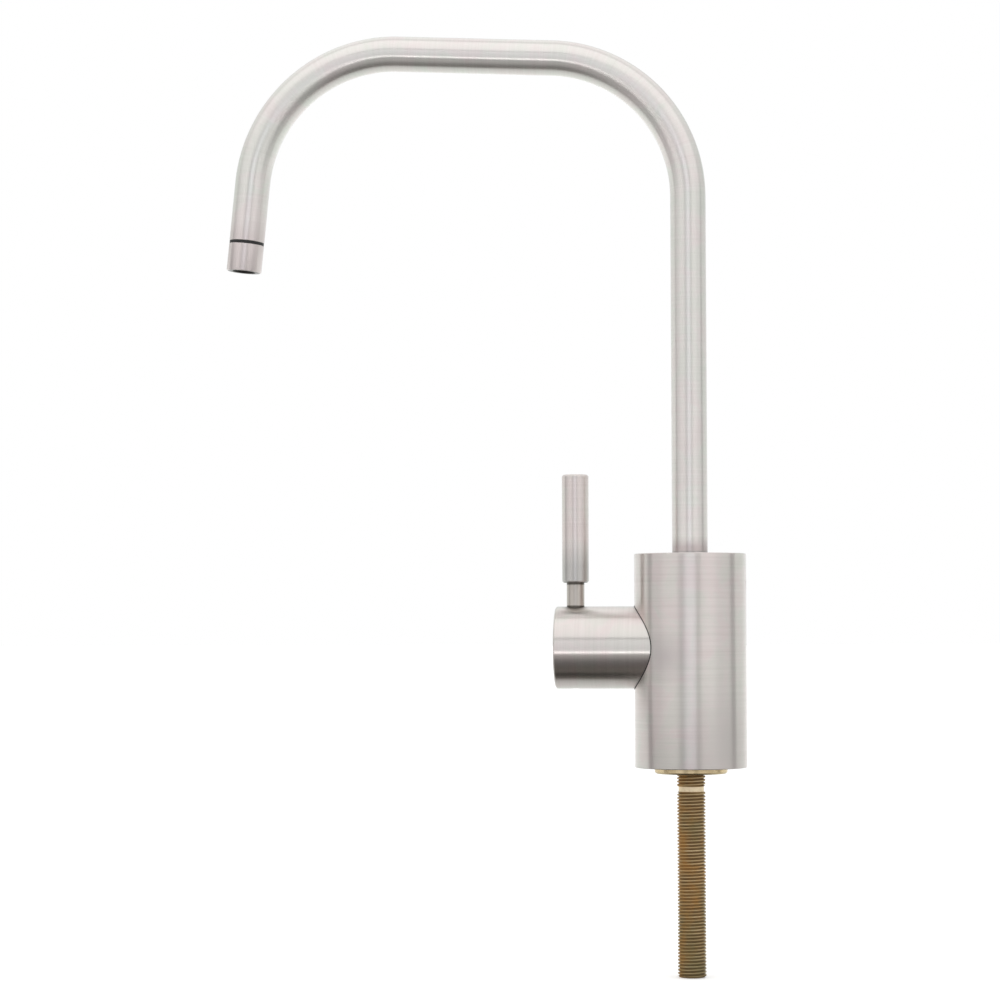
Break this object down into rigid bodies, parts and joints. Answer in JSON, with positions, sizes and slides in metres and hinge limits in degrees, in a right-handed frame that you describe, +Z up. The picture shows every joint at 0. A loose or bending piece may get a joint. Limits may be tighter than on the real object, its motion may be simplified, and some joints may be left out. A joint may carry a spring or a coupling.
{
  "type": "faucet",
  "caption": "Slim cold water faucet: cylindrical body on a threaded shank, swivelling bent tube spout and a side barrel whose lever turns the valve.",
  "frame": {"origin": "on the axis of the body and shank at the underside of the brass flange, which stands on the deck", "axes": "+Z up along the body, -X towards the free end of the handle barrel and the outlet, -Y the side the lever opens to"},
  "size_m": [0.2047, 0.0434, 0.3687],
  "materials": {
    "brushed_casing": "stainless steel, fine brushing round the cylinder",
    "brushed_barrel": "stainless steel, fine brushing round the barrel",
    "brushed_lever": "stainless steel, fine brushing round the rod",
    "brushed_tube": "stainless steel tube, satin brushed",
    "bright_brass": "turned brass, left bright",
    "dull_brass": "threaded brass with brown patina",
    "machined_brass": "machined brass",
    "black_rubber": "black nitrile rubber",
    "white_acetal": "moulded acetal",
    "white_ceramic": "lapped alumina ceramic",
    "dark_screw_steel": "blackened steel",
    "steel_mesh": "woven stainless mesh"
  },
  "bodies": {
    "body": {"body_shell": "brushed_casing", "valve_block": "machined_brass", "base_flange": "bright_brass", "threaded_shank": "dull_brass", "shank_o_ring": "black_rubber", "cartridge_housing": "machined_brass", "cartridge_o_ring": "black_rubber", "disc_seal": "black_rubber", "fixed_disc": "white_ceramic", "spindle_washer": "white_acetal", "hub_guide_ring": "white_acetal", "swivel_bushing": "white_acetal", "thrust_washer": "white_acetal", "spout_screw": "dark_screw_steel"},
    "spout": {"spout_tube": "brushed_tube", "spout_spigot": "machined_brass", "spigot_o_rings": "black_rubber", "tip_gasket": "black_rubber", "tip_sleeve": "brushed_tube", "flow_straightener": "white_acetal", "outlet_screen": "steel_mesh"},
    "handle": {"handle_hub": "brushed_barrel", "lever_stem": "brushed_lever", "lever_grip": "brushed_lever", "hub_set_screw": "dark_screw_steel", "spline_insert": "white_acetal", "spindle": "machined_brass", "moving_disc": "white_ceramic", "spindle_o_rings": "black_rubber", "spindle_clip": "dark_screw_steel"}
  },
  "joints": [
    {"name": "spout_swivel", "type": "hinge", "parent": "body", "child": "spout", "pos_m": [0, 0, 0.0732], "axis": [0, 0, 1], "continuous": true},
    {"name": "lever_turn", "type": "hinge", "parent": "body", "child": "handle", "pos_m": [-0.03, 0, 0.0487], "axis": [1, 0, 0], "range_deg": [0, 90]}
  ]
}
